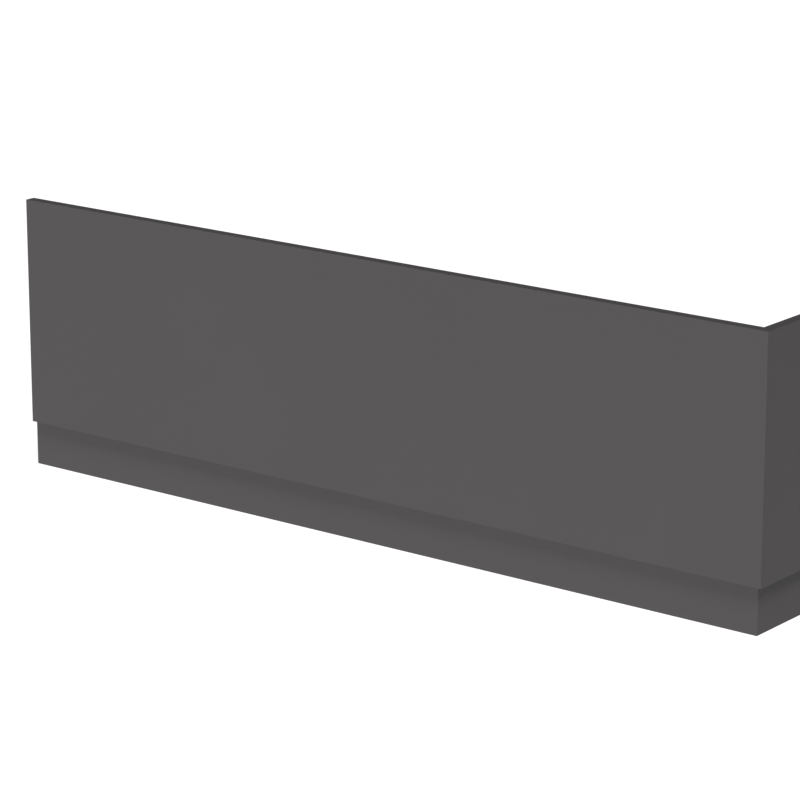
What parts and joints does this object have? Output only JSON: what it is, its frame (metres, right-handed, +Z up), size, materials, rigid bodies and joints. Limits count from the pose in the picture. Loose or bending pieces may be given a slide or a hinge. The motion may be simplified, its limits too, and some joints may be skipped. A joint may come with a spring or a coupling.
{
  "type": "bath panel",
  "caption": "L-shaped bath panel: plain front and end boards on set-back plinths, closing in the side and end of a bath below its rim.",
  "frame": {"origin": "on the floor, in the middle of the rectangle that the front and end panels enclose", "axes": "+X along the front panel towards the outer corner, +Y from the front face towards the wall behind the bath, +Z up"},
  "size_m": [1.7, 0.7, 0.54],
  "materials": {
    "grey_board": "satin",
    "zinc_screw": "plated"
  },
  "bodies": {
    "root": {"front_panel": "grey_board", "end_panel": "grey_board", "front_plinth": "grey_board", "end_plinth": "grey_board"}
  },
  "joints": []
}
